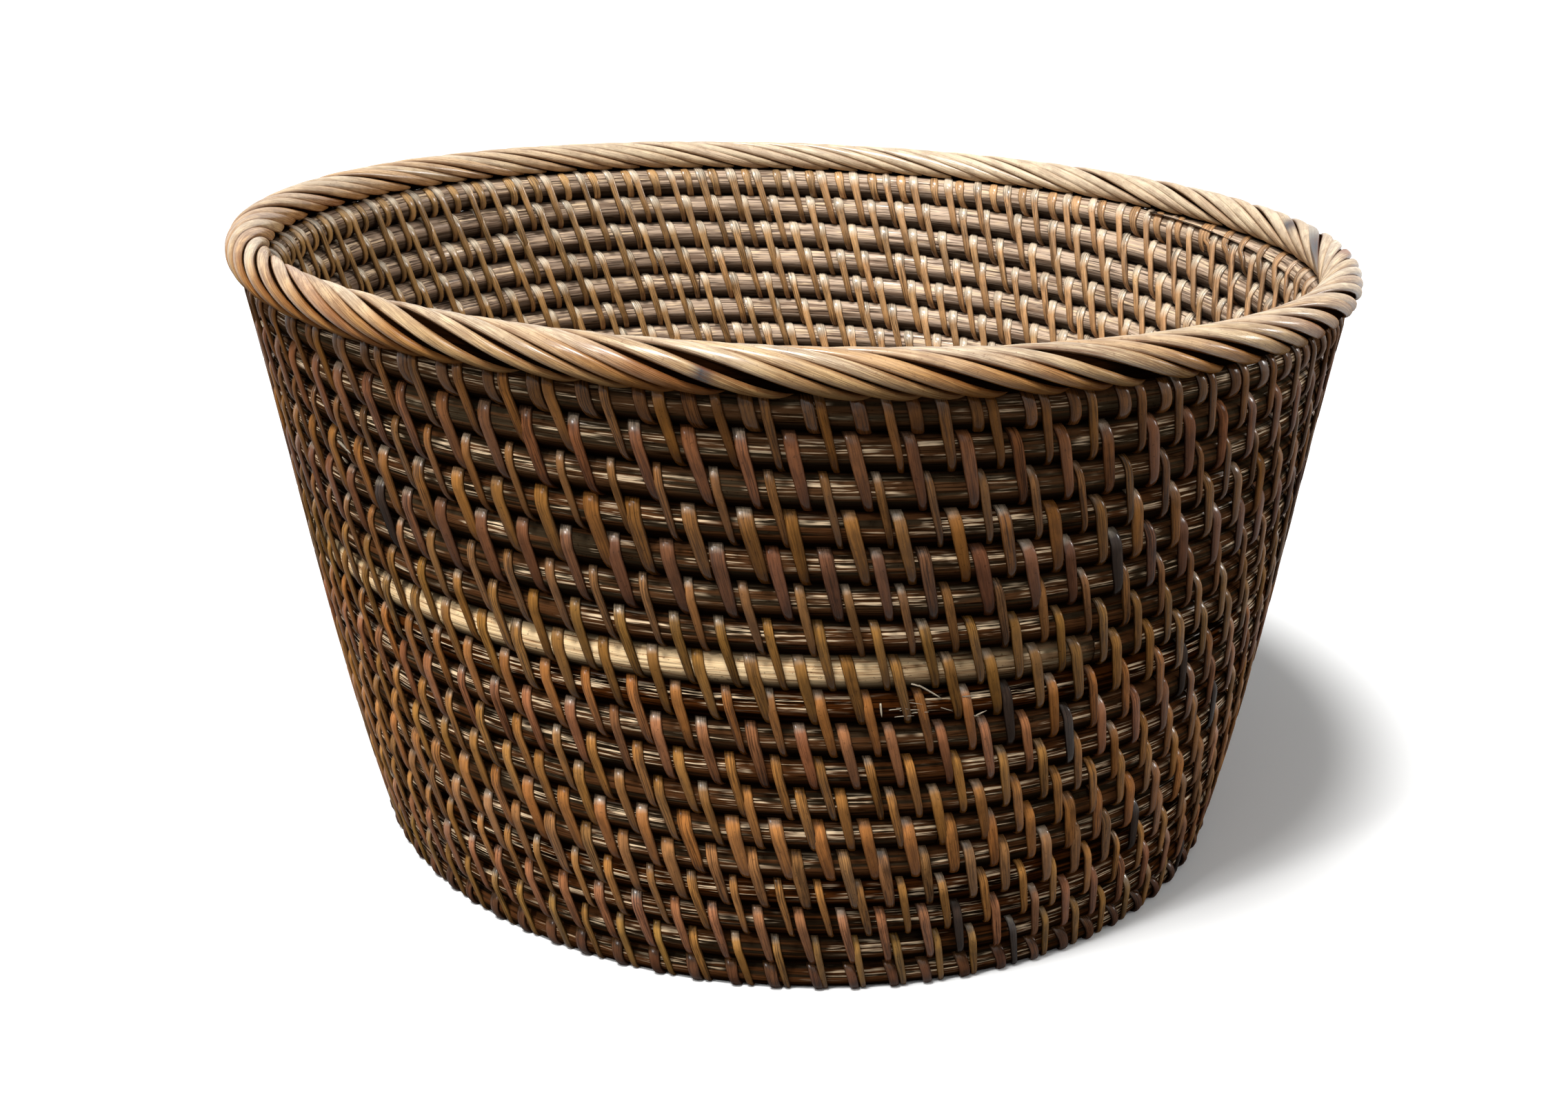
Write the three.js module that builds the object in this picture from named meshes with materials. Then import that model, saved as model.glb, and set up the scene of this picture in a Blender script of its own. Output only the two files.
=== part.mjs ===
// Rattan cachepot: a round, flared basket of coiled rattan.
// Rods lie end to end in one coil, flat for the base and stacked turn on turn for the wall.
// A hoop closes the top, and a wrapping of strips covers the hoop down to the top turn.
// Millimetres, +Z up, the floor at z = 0 and the origin under the middle of the rim.
import * as THREE from 'three';

// Overall sizes
const RIM_DIAMETER = 280;
const HEIGHT = 155;
const FOOT_DIAMETER = 227;
// The wall stands a little askew: the foot's middle lies this far to +X of the rim's middle.
const FOOT_OFFSET = 5.5;
// The most that the wall swells beyond a straight flare.
const WALL_BELLY = 1.5;

// Rods and their coil
const ROD_DIAMETER = 7.3;
const SPLICE_GAP = 0.4;
// Lengths of rod, about 1 m each, that make up the base and the wall.
const BASE_RODS = 5;
const WALL_RODS = 14;
// Room between two turns for the strips that lace them together.
const LACING_GAP = 0.8;
// The coil is worn flat this deep where it stands on the floor.
const FOOT_FLAT = 0.5;
// Hole left in the middle of the base, where the coil starts.
const START_HOLE_DIAMETER = 1.6;
// Share of each turn in which the coil steps to the next turn.
const STEP_SHARE = 0.25;
// Share of that step along which the last turn tapers out under the rim.
const SCARF_SHARE = 0.5;

// Rim
const HOOP_DIAMETER = 7.3;
const WRAP_THICKNESS = 1.1;
const WRAP_CLEARANCE = 0.3;
// How far the hoop stands outside the top turn.
const RIM_OVERHANG = 2.7;
// Half of the slot that the wrapping leaves open over the top turn, in degrees.
const WRAP_SLOT_HALF_ANGLE = 40;

// Fineness of the meshes
const TURN_STEPS = 24;
// Turns of the base that are small enough for half as many steps.
const SMALL_TURNS = 4;
const RIM_STEPS = 48;
const HOOP_SIDES = 8;
const WRAP_SIDES = 9;

// Colours
const ROD_COLOUR = 0x3b2a1c;
const LIGHT_ROD_COLOUR = 0xcdb48c;
const LIGHT_ROD = 'wall_rod_08';
const RIM_COLOUR = 0xb98f57;
const RATTAN_ROUGHNESS = 0.55;

// Places that follow from the sizes
const rodRadius = ROD_DIAMETER / 2;
const turnPitch = ROD_DIAMETER + LACING_GAP;
const hoopRadius = HOOP_DIAMETER / 2;
const wrapInnerRadius = hoopRadius + WRAP_CLEARANCE;
const wrapOuterRadius = wrapInnerRadius + WRAP_THICKNESS;
const rimRadius = RIM_DIAMETER / 2 - wrapOuterRadius;
const rimHeight = HEIGHT - wrapOuterRadius;

const footRadius = FOOT_DIAMETER / 2 - rodRadius;
const footHeight = rodRadius - FOOT_FLAT;
const topRadius = rimRadius - RIM_OVERHANG;
// The hoop lies on the top turn, a lacing gap away, along the line between their middles.
const topHeight = rimHeight - Math.sqrt((hoopRadius + LACING_GAP + rodRadius) ** 2 - RIM_OVERHANG ** 2);

// Whole turns that fit, each at least one pitch from the next.
const startRadius = rodRadius + START_HOLE_DIAMETER / 2;
const baseTurns = Math.floor((footRadius - startRadius) / turnPitch);
const wallTurns = Math.floor((topHeight - footHeight) / turnPitch);
const lastTurn = baseTurns + wallTurns;

// The largest value of share * (1 - share)^2, where share is a third.
const SWELL_PEAK = 4 / 27;

// Share of a turn at which its step to the next turn starts.
const baseStepStart = 1 - STEP_SHARE;
const wallStepStart = baseStepStart - STEP_SHARE;

// Where a turn's rod lies: its radius, its height and the middle that it goes round.
// Turn 0 is the innermost of the base, turn baseTurns the foot, turn lastTurn the top.
function turnPlace(turn) {
  const level = Math.min(turn, lastTurn);
  let radius = footRadius + (level - baseTurns) * (footRadius - startRadius) / baseTurns;
  let height = footHeight;
  if (level > baseTurns) {
    const share = (level - baseTurns) / wallTurns;
    // Grows from 0 at the foot to WALL_BELLY a third of the way up, and dies out at the top.
    const swell = WALL_BELLY * share * (1 - share) ** 2 / SWELL_PEAK;
    radius = footRadius + (topRadius - footRadius) * share + swell;
    height = footHeight + (topHeight - footHeight) * share;
  }
  return { radius, height, middle: FOOT_OFFSET * (1 - height / rimHeight) };
}

// The coil keeps level for most of a turn, then steps smoothly to the next one.
// A turn of the wall has risen by the angle at which the last turn of the base steps out below it.
function coilPlace(turns) {
  const whole = Math.floor(turns);
  const stepStart = whole < baseTurns ? baseStepStart : wallStepStart;
  const step = THREE.MathUtils.clamp((turns - whole - stepStart) / STEP_SHARE, 0, 1);
  return turnPlace(whole + step * step * (3 - 2 * step));
}

// One six-sided section of the rod, as points in the upright plane at its angle.
// It is flat above and below. The top turn thins out over the rod that rises under it.
function rodSection(turns) {
  const { radius, height, middle } = coilPlace(turns);
  const top = height + rodRadius;
  let bottom = Math.max(height - rodRadius, 0);
  if (turns >= lastTurn) {
    bottom = Math.max(bottom, coilPlace(turns - 1).height + rodRadius + LACING_GAP);
  }
  const waist = (top + bottom) / 2;
  const half = rodRadius / 2;
  const corners = [
    [-half, bottom], [half, bottom], [rodRadius, waist], [half, top], [-half, top], [-rodRadius, waist],
  ];
  // The middle of the wall's steps lies on +X.
  const angle = 2 * Math.PI * (turns - wallStepStart - STEP_SHARE / 2);
  return corners.map(([out, z]) => new THREE.Vector3(
    middle + (radius + out) * Math.cos(angle),
    (radius + out) * Math.sin(angle),
    z,
  ));
}

// The sections of the coil from one turn to another, a step apart.
function coilSections(fromTurn, toTurn) {
  const sections = [];
  for (let step = Math.round(fromTurn * TURN_STEPS); step <= Math.round(toTurn * TURN_STEPS); step += 1) {
    const coarse = step < SMALL_TURNS * TURN_STEPS;
    if (!coarse || step % 2 === 0) sections.push(rodSection(step / TURN_STEPS));
  }
  return sections;
}

function sectionMiddle(section) {
  return section.reduce((sum, point) => sum.add(point), new THREE.Vector3()).divideScalar(section.length);
}

// Moves a section towards its neighbour by a distance, for the gap at a splice.
function slideSection(section, neighbour, distance) {
  const share = distance / sectionMiddle(section).distanceTo(sectionMiddle(neighbour));
  return section.map((point, i) => point.clone().lerp(neighbour[i], share));
}

// Shares the coil out into rods that are equally long, to within a step.
function cutIntoRods(sections, count) {
  const middles = sections.map(sectionMiddle);
  const along = [0];
  for (let i = 1; i < middles.length; i += 1) {
    along.push(along[i - 1] + middles[i].distanceTo(middles[i - 1]));
  }
  const total = along[along.length - 1];
  const rods = [];
  let first = 0;
  for (let rod = 1; rod <= count; rod += 1) {
    const last = rod < count ? along.findIndex((length) => length >= total * rod / count) : along.length - 1;
    const piece = sections.slice(first, last + 1);
    piece[0] = slideSection(piece[0], piece[1], SPLICE_GAP / 2);
    const end = piece.length - 1;
    piece[end] = slideSection(piece[end], piece[end - 1], SPLICE_GAP / 2);
    rods.push(piece);
    first = last;
  }
  return rods;
}

// A closed skin over a row of sections, with flat ends or, when ring is true, joined end to start.
function skin(sections, ring = false) {
  const sides = sections[0].length;
  const index = [];
  const spans = ring ? sections.length : sections.length - 1;
  for (let i = 0; i < spans; i += 1) {
    const here = i * sides;
    const next = ((i + 1) % sections.length) * sides;
    for (let j = 0; j < sides; j += 1) {
      const k = (j + 1) % sides;
      index.push(here + j, next + j, next + k, here + j, next + k, here + k);
    }
  }
  if (!ring) {
    const end = (sections.length - 1) * sides;
    for (let j = 1; j < sides - 1; j += 1) {
      index.push(0, j, j + 1, end, end + j + 1, end + j);
    }
  }
  const coordinates = sections.flat().flatMap((point) => point.toArray());
  const geometry = new THREE.BufferGeometry();
  geometry.setAttribute('position', new THREE.Float32BufferAttribute(coordinates, 3));
  geometry.setIndex(index);
  geometry.computeVertexNormals();
  return geometry;
}

// The least distance between points of one rod that lie over a quarter turn apart along it.
function leastSelfGap(sections) {
  let least = Infinity;
  const apart = TURN_STEPS / 4 + 1;
  for (let i = 0; i < sections.length; i += 1) {
    for (let j = i + apart; j < sections.length; j += 1) {
      for (const a of sections[i]) {
        for (const b of sections[j]) least = Math.min(least, a.distanceTo(b));
      }
    }
  }
  return least;
}

function rattan(colour) {
  return new THREE.MeshStandardMaterial({ color: colour, roughness: RATTAN_ROUGHNESS, metalness: 0 });
}

function addPiece(group, name, geometry, colour) {
  const mesh = new THREE.Mesh(geometry, rattan(colour));
  mesh.name = name;
  group.add(mesh);
}

// A ring round the basket's axis from a closed outline of [radius, height] points.
function rimRing(outline) {
  const sections = [];
  for (let i = 0; i < RIM_STEPS; i += 1) {
    const angle = (i / RIM_STEPS) * 2 * Math.PI;
    sections.push(outline.map(([r, z]) => new THREE.Vector3(r * Math.cos(angle), r * Math.sin(angle), z)));
  }
  return skin(sections, true);
}

// Points on an arc round the middle of the rim's section, from one angle to another.
function rimArc(radius, from, to, count) {
  return Array.from({ length: count }, (_, i) => {
    const angle = from + (to - from) * i / (count - 1);
    return [rimRadius + radius * Math.cos(angle), rimHeight + radius * Math.sin(angle)];
  });
}

function hoopOutline() {
  return rimArc(hoopRadius, 0, 2 * Math.PI * (1 - 1 / HOOP_SIDES), HOOP_SIDES);
}

// The wrapping's section is a C round the hoop, open towards the top turn.
function wrapOutline() {
  const towardsTop = Math.atan2(topHeight - rimHeight, topRadius - rimRadius);
  const slot = THREE.MathUtils.degToRad(WRAP_SLOT_HALF_ANGLE);
  const from = towardsTop + slot;
  const to = towardsTop + 2 * Math.PI - slot;
  // The sides of the inner outline, not its corners, keep the clearance to the hoop.
  const innerCorners = wrapInnerRadius / Math.cos((to - from) / (WRAP_SIDES - 1) / 2);
  return [
    ...rimArc(wrapOuterRadius, from, to, WRAP_SIDES),
    ...rimArc(innerCorners, to, from, WRAP_SIDES),
  ];
}

const cachepot = new THREE.Group();
cachepot.name = 'rattan_cachepot';

function addRods(prefix, count, sections) {
  cutIntoRods(sections, count).forEach((rod, i) => {
    const name = `${prefix}_${String(i + 1).padStart(2, '0')}`;
    addPiece(cachepot, name, skin(rod), name === LIGHT_ROD ? LIGHT_ROD_COLOUR : ROD_COLOUR);
    console.log(`${name}: least gap to itself ${leastSelfGap(rod).toFixed(2)} mm`);
  });
}

const scarfEnd = lastTurn + wallStepStart + STEP_SHARE * SCARF_SHARE;
addRods('base_rod', BASE_RODS, coilSections(0, baseTurns));
addRods('wall_rod', WALL_RODS, coilSections(baseTurns, scarfEnd));
addPiece(cachepot, 'rim_hoop', rimRing(hoopOutline()), ROD_COLOUR);
addPiece(cachepot, 'rim_wrapping', rimRing(wrapOutline()), RIM_COLOUR);

export default cachepot;
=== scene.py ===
"""Rattan cachepot: a round, flared basket of coiled rattan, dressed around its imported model.

Round rods follow the coil, lacing strips loop round each two turns, and slanting strands wrap the rim.
Metres, +Z up, the floor at z = 0 and the origin under the middle of the rim.
"""

import math

import bpy
import numpy as np
from mathutils import Matrix, Vector


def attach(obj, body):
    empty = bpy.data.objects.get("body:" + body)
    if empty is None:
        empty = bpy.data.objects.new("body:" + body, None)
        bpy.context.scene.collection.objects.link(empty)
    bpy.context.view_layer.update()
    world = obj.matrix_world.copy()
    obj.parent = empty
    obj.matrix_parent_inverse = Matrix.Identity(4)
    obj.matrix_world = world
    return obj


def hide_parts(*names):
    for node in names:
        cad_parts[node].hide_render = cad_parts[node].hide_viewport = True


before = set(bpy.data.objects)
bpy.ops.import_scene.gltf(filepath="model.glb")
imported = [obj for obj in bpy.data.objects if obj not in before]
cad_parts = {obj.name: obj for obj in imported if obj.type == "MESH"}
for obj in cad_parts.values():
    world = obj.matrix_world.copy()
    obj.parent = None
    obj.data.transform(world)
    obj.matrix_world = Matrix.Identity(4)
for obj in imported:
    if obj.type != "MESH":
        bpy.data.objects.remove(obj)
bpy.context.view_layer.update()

bl_info = {
    "name": "Rattan cachepot",
    "version": (1, 0, 0),
    "blender": (4, 5, 0),
    "location": "3D View > Sidebar > Cachepot",
    "description": "Dresses a coiled basket in rattan rods, lacing strips and a wrapped rim",
    "category": "Object",
}

BODY = "root"
BAKE_MAP = "OFBake"
MM = 0.001

# The coil steps up to its next turn in this share of a turn.
STEP_SHARE = 0.25
BASE_STEP_START = 1 - STEP_SHARE
WALL_STEP_START = BASE_STEP_START - STEP_SHARE
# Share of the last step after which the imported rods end, and after which the top turn has tapered out.
SCARF_SHARE = 0.5
TAPER_SHARE = 0.9
# Share of the last step up to which lacing holds the tapering end, in place of ties to the rim.
LACED_SHARE = 0.75
# The largest value of share * (1 - share)^2, where share is a third.
SWELL_PEAK = 4 / 27
# Rods are cut at whole steps of the coil. The small turns of the base have half as many.
TURN_STEPS = 24
SMALL_TURNS = 4
BASE_RODS = 5
WALL_RODS = 14
LIGHT_ROD = "wall_rod_08"

# Tone and relative width of the lacing in each row of the front, from the rim down.
FRONT_ROWS = (
    ("tan", 1.1), ("golden", 0.9), ("rose", 1.1), ("tan", 0.75), ("golden", 1.2), ("plum", 1.15),
    ("tan", 0.8), ("olive", 0.9), ("olive", 1.0), ("orange", 0.9), ("rose", 0.95), ("golden", 0.9),
    ("golden", 0.95), ("orange", 1.2), ("tan", 1.1), ("golden", 0.8), ("rose", 0.95), ("olive", 0.75),
)
TONES = ("golden", "tan", "rose", "plum", "orange", "olive")
# Stains on the rim: azimuth in degrees, share of a strand where it lies, its reach and its tone.
RIM_STAINS = (
    (-97, 0.71, 0.03, "slate"), (10, 0.31, 0.05, "slate"),
    (-5, 0.24, 0.2, "slate"), (-9, 0.49, 0.08, "rose"),
)
# Splinters and bristles on the wall: azimuth in degrees and height in millimetres of the fixed end and of
# the loose end, and their width in millimetres.
SPLINTERS = (
    (-78.3, 82.4, -76.1, 79.3, 0.5), (-79.0, 82.8, -78.2, 82.5, 0.45), (-72.6, 73.4, -71.5, 75.3, 0.5),
    (-81.8, 78.4, -81.7, 75.5, 0.6), (-137.8, 119.0, -135.0, 118.0, 0.9),
    (-137.0, 119.6, -136.2, 120.9, 0.4), (-136.9, 114.6, -136.8, 116.2, 1.2),
)
# Lamps: name, setting of the strength, direction towards the lamp and its width in degrees.
LAMPS = (
    ("key_light", "key_strength", (-0.26, -0.29, 0.92), 13),
    ("fill_light", "fill_strength", (0.1, -0.5, 0.86), 60),
    ("glint_light", "glint_strength", (-0.55, -0.5, 0.67), 5),
    ("side_light", "side_strength", (0.93, 0.2, 0.3), 12),
)
# Groups of pieces that each have their own random numbers.
GROUPS = ("base rods", "wall rods", "lacing", "rim", "strands", "fibres")
# Painted shade under the rim and at the strands' ends takes more of the green and of the blue than of the
# red, and painted shade on a stitch a little less so.
SHADE_POWER = (1, 1.2, 1.5)
STITCH_SHADE_POWER = (1, 1.1, 1.25)
# Each rod and strip starts at its own place in the grain, up to this many millimetres along.
GRAIN_START = 4000


def length(name, default, description):
    return bpy.props.FloatProperty(
        name=name, description=description, default=default, unit="LENGTH", precision=5
    )


def number(name, default, description):
    return bpy.props.FloatProperty(name=name, description=description, default=default)


def turn_angle(name, default, description):
    return bpy.props.FloatProperty(
        name=name, description=description, default=math.radians(default), subtype="ANGLE", unit="ROTATION"
    )


def group(kind, name, description):
    return bpy.props.PointerProperty(type=kind, name=name, description=description)


def linear(red, green, blue):
    """Linear light from a colour written as it looks on a screen, from 0 to 255."""
    shares = [value / 255 for value in (red, green, blue)]
    return tuple(s / 12.92 if s <= 0.04045 else ((s + 0.055) / 1.055) ** 2.4 for s in shares)


def colour(name, looks, description):
    return bpy.props.FloatVectorProperty(
        name=name, description=description, default=linear(*looks), subtype="COLOR", size=3, min=0, max=1
    )


class CoilSizes(bpy.types.PropertyGroup):
    """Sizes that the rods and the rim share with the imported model."""

    rim_diameter: length("Rim diameter", 0.28, "Across the outside of the wrapped rim")
    height: length("Height", 0.155, "From the floor to the top of the rim")
    foot_diameter: length("Foot diameter", 0.227, "Across the lowest turn of the wall")
    foot_offset: length("Foot offset", 0.0055, "How far the foot's middle lies to +X of the rim's")
    wall_belly: length("Wall belly", 0.0015, "The most that the wall swells beyond a straight flare")
    rod_diameter: length("Rod diameter", 0.0073, "Thickness of the coiled rods")
    splice_gap: length("Splice gap", 0.0004, "Gap between two rods that meet end to end")
    lacing_gap: length("Lacing gap", 0.0008, "Room between two turns for the lacing")
    foot_flat: length("Foot flat", 0.0005, "How deep the coil is worn flat on the floor")
    start_hole: length("Start hole", 0.0016, "Hole in the middle of the base, where the coil starts")
    hoop_diameter: length("Hoop diameter", 0.0073, "Thickness of the rod inside the rim")
    wrap_thickness: length("Wrap thickness", 0.0011, "Thickness of the rim's wrapping")
    wrap_clearance: length("Wrap clearance", 0.0003, "Gap between the hoop and its wrapping")
    rim_overhang: length("Rim overhang", 0.0027, "How far the hoop stands outside the top turn")
    rod_press: length("Rod press", 0.0007, "How far a rod is pressed out of round towards its neighbours")


class LacingSizes(bpy.types.PropertyGroup):
    """Sizes of the strips that lace the turns together and wrap the rim."""

    strip_width: length("Strip width", 0.0024, "Width of a lacing strip in a usual row")
    strip_thickness: length("Strip thickness", 0.00075, "Thickness of a lacing strip")
    stitches: number("Stitches", 79.5, "Stitches in one turn of the wall")
    base_spacing: length("Base spacing", 0.0087, "Distance between stitches in the base")
    outside_slant: number("Outside slant", 0.35, "How many stitches wide a stitch's slant is outside")
    inside_slant: number("Inside slant", 0.41, "How many stitches wide a stitch's slant is inside")
    strand_count: bpy.props.IntProperty(
        name="Strands", description="Strands that wrap the rim", default=80, min=12
    )
    strand_width: length("Strand width", 0.003, "Width of a strand of the rim")
    strand_thickness: length("Strand thickness", 0.0013, "Thickness of a strand of the rim")
    strand_advance: number("Strand advance", 7.2, "How many strands wide one strand's slant is")
    strand_phase: number("Strand phase", 0.0, "How far the strands are shifted round the rim, in strands")
    seed: bpy.props.IntProperty(name="Seed", description="Picks the unevenness of the work", default=7)


class RattanColours(bpy.types.PropertyGroup):
    """Colours of the rods, of the strips and of the rim."""

    # Dark rod is the stain's own dark, and also the painted shade in the grooves between the rods.
    rod_dark: colour("Dark rod", (18, 7, 2), "Stained rods, in their grooves")
    rod_mid: colour("Rod", (80, 42, 15), "Stained rods, on their ridges")
    # Scuffed rod is the pale of bare fibre and also a painted highlight on the rods' lit upper band.
    rod_scuffed: colour("Scuffed rod", (248, 218, 178), "Stained rods, where a fibre is rubbed bare")
    # Rod inside is painted light: the rods are paler where light falls into the basket.
    rod_inside: colour("Rod inside", (224, 197, 172), "Stained rods, towards the inside of the basket")
    rod_pale: colour("Pale rod", (255, 222, 172), "The pale length of rod")
    golden: colour("Golden strip", (184, 125, 62), "Golden lacing strips")
    tan: colour("Tan strip", (169, 117, 68), "Tan lacing strips")
    rose: colour("Rose strip", (176, 114, 72), "Pinkish brown lacing strips")
    plum: colour("Plum strip", (148, 97, 66), "Purple brown lacing strips")
    orange: colour("Orange strip", (190, 123, 62), "Orange brown lacing strips")
    olive: colour("Olive strip", (170, 120, 58), "Olive brown lacing strips")
    sooty: colour("Sooty strip", (70, 54, 44), "The odd grey black strip")
    # Strip inside is painted light: the strips are paler where light falls into the basket.
    strip_inside: colour("Strip inside", (254, 203, 142), "Lacing strips, towards the inside of the basket")
    honey: colour("Honey strand", (222, 168, 104), "Most strands of the rim")
    straw: colour("Straw strand", (236, 196, 140), "The palest strands of the rim")
    blush: colour("Blush strand", (208, 152, 100), "Pinkish strands of the rim")
    # Amber is the strands' stain, and also the painted shade along their edges.
    amber: colour("Amber stain", (112, 60, 22), "Edges and streaks of the rim's strands")
    # Faded strand is the fade that all strands share a little of, and also the painted light and glare on
    # the rim at the back and the right.
    faded_and_lit: colour("Faded strand", (255, 234, 200), "Strands of the rim at the back, bleached by the sun")
    slate: colour("Slate stain", (66, 74, 80), "Grey stains on the rim")
    # Splinter is the colour of bare fibre, and on the knuckles also a painted highlight.
    splinter: colour("Splinter", (248, 230, 202), "Bare splinters and rubbed knuckles")


class StageSettings(bpy.types.PropertyGroup):
    """Where the camera stands, and the light and the floor."""

    camera_distance: length("Camera distance", 0.45219, "From the basket's axis to the camera")
    camera_height: length("Camera height", 0.23484, "From the floor to the camera")
    camera_lens: number("Lens", 40.49, "Focal length in millimetres on a sensor 36 mm wide")
    camera_pitch: turn_angle("Pitch", 21.056, "How far the camera looks down")
    camera_roll: turn_angle("Roll", 1.937, "How far the camera leans to its left")
    key_strength: number("Key strength", 3.3, "Strength of the light from above the front left")
    fill_strength: number("Fill strength", 0.7, "Strength of the broad light from above the front")
    glint_strength: number("Glint strength", 0.75, "Strength of the small light from the front left")
    side_strength: number("Side strength", 0.85, "Strength of the low light from the right")
    sky_strength: number("Sky strength", 0.08, "Strength of the light from all round")
    floor_colour: colour("Floor", (246, 246, 245), "Colour of the floor")
    floor_bounce: colour("Floor bounce", (84, 80, 76), "Colour that the floor throws back on the basket")


class Coil:
    """The line that the rods follow, from the middle of the base up to the rim."""

    def __init__(self, sizes):
        self.sizes = sizes
        self.rod = sizes.rod_diameter / 2
        self.hoop = sizes.hoop_diameter / 2
        rim_tube = self.hoop + sizes.wrap_clearance + sizes.wrap_thickness
        self.rim_radius = sizes.rim_diameter / 2 - rim_tube
        self.rim_height = sizes.height - rim_tube
        self.foot_radius = sizes.foot_diameter / 2 - self.rod
        self.foot_height = self.rod - sizes.foot_flat
        self.top_radius = self.rim_radius - sizes.rim_overhang
        reach = self.hoop + sizes.lacing_gap + self.rod
        self.top_height = self.rim_height - math.sqrt(reach**2 - sizes.rim_overhang**2)
        pitch = sizes.rod_diameter + sizes.lacing_gap
        self.start_radius = self.rod + sizes.start_hole / 2
        self.base_turns = int((self.foot_radius - self.start_radius) / pitch)
        self.wall_turns = int((self.top_height - self.foot_height) / pitch)
        self.last_turn = self.base_turns + self.wall_turns
        self.end_turn = self.last_turn + WALL_STEP_START + STEP_SHARE * SCARF_SHARE
        self.taper_turn = self.last_turn + WALL_STEP_START + STEP_SHARE * TAPER_SHARE
        self.wall_pitch = (self.top_height - self.foot_height) / self.wall_turns

    def place(self, turns):
        """Radius, height and middle of the rod at these turns. Turn 0 is the innermost of the base."""
        whole = np.floor(turns)
        start = np.where(whole < self.base_turns, BASE_STEP_START, WALL_STEP_START)
        step = np.clip((turns - whole - start) / STEP_SHARE, 0, 1)
        return self.level_place(np.minimum(whole + step * step * (3 - 2 * step), self.last_turn))

    def level_place(self, level):
        """Radius, height and middle of a rod that keeps to a level, counted in turns."""
        base_pitch = (self.foot_radius - self.start_radius) / self.base_turns
        share = np.clip((level - self.base_turns) / self.wall_turns, 0, 1)
        swell = self.sizes.wall_belly * share * (1 - share) ** 2 / SWELL_PEAK
        flare = (self.top_radius - self.foot_radius) * share + swell
        radius = self.foot_radius + np.minimum(level - self.base_turns, 0) * base_pitch + flare
        height = self.foot_height + (self.top_height - self.foot_height) * share
        middle = self.sizes.foot_offset * (1 - height / self.rim_height)
        return radius, height, middle

    def angle(self, turns):
        """The middle of the wall's steps lies on +X."""
        return 2 * math.pi * (turns - WALL_STEP_START - STEP_SHARE / 2)

    def top_turn(self, angle):
        """The turn at which the coil passes an angle at the level of its top."""
        start = WALL_STEP_START + STEP_SHARE
        return self.last_turn - 1 + start + (angle / (2 * math.pi) - STEP_SHARE / 2) % 1

    def points(self, turns):
        radius, height, middle = self.place(turns)
        return polar(radius, self.angle(turns), height, middle)

    def wall_points(self, azimuth, height, out):
        """Points beside the middle of the wall, by azimuth, height and distance outwards."""
        level = self.base_turns + (height - self.foot_height) / self.wall_pitch
        radius, _, middle = self.level_place(level)
        return polar(radius + out, azimuth, height, middle)

    def cuts(self, from_turn, to_turn, count):
        """Turns where the coil is cut into rods: the first whole step past each equal share."""
        steps = np.arange(round(from_turn * TURN_STEPS), round(to_turn * TURN_STEPS) + 1)
        steps = steps[(steps >= SMALL_TURNS * TURN_STEPS) | (steps % 2 == 0)]
        turns = steps / TURN_STEPS
        along = distances(self.points(turns))
        inner = [turns[np.argmax(along >= along[-1] * i / count)] for i in range(1, count)]
        return [from_turn, *inner, to_turn]


def settings():
    return bpy.context.scene.cachepot


def tone(name):
    """A colour of the rattan by its name."""
    return np.array(getattr(settings().colours, name))


def uneven(pieces):
    """The random numbers of a group of pieces."""
    return np.random.default_rng(settings().lacing.seed + GROUPS.index(pieces))


def distances(points):
    """How far each point lies along the line through them."""
    return np.concatenate([[0], np.cumsum(np.linalg.norm(np.diff(points, axis=0), axis=1))])


def unit(vectors):
    return vectors / np.linalg.norm(vectors, axis=-1, keepdims=True)


def stacked(*values):
    """Coordinates side by side, each spread out to the shape that they have together."""
    return np.stack(np.broadcast_arrays(*values), axis=-1)


def polar(radius, angle, height, middle=0.0):
    """Points by radius, angle and height round an upright axis, which stands at middle on X."""
    return stacked(middle + radius * np.cos(angle), radius * np.sin(angle), height)


def curve(points, at):
    """Values between the points of a curve, each given as a place and a value."""
    return np.interp(at, *zip(*points))


def wander(at, rng, waves, least, most):
    """Smooth unevenness between about -1 and 1, as waves of random lengths and starts."""
    lengths = rng.uniform(least, most, waves)
    starts = rng.uniform(0, 2 * math.pi, waves)
    total = sum(np.sin(2 * math.pi * at / wave + start) for wave, start in zip(lengths, starts))
    return total / math.sqrt(waves)


# Meshes


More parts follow.
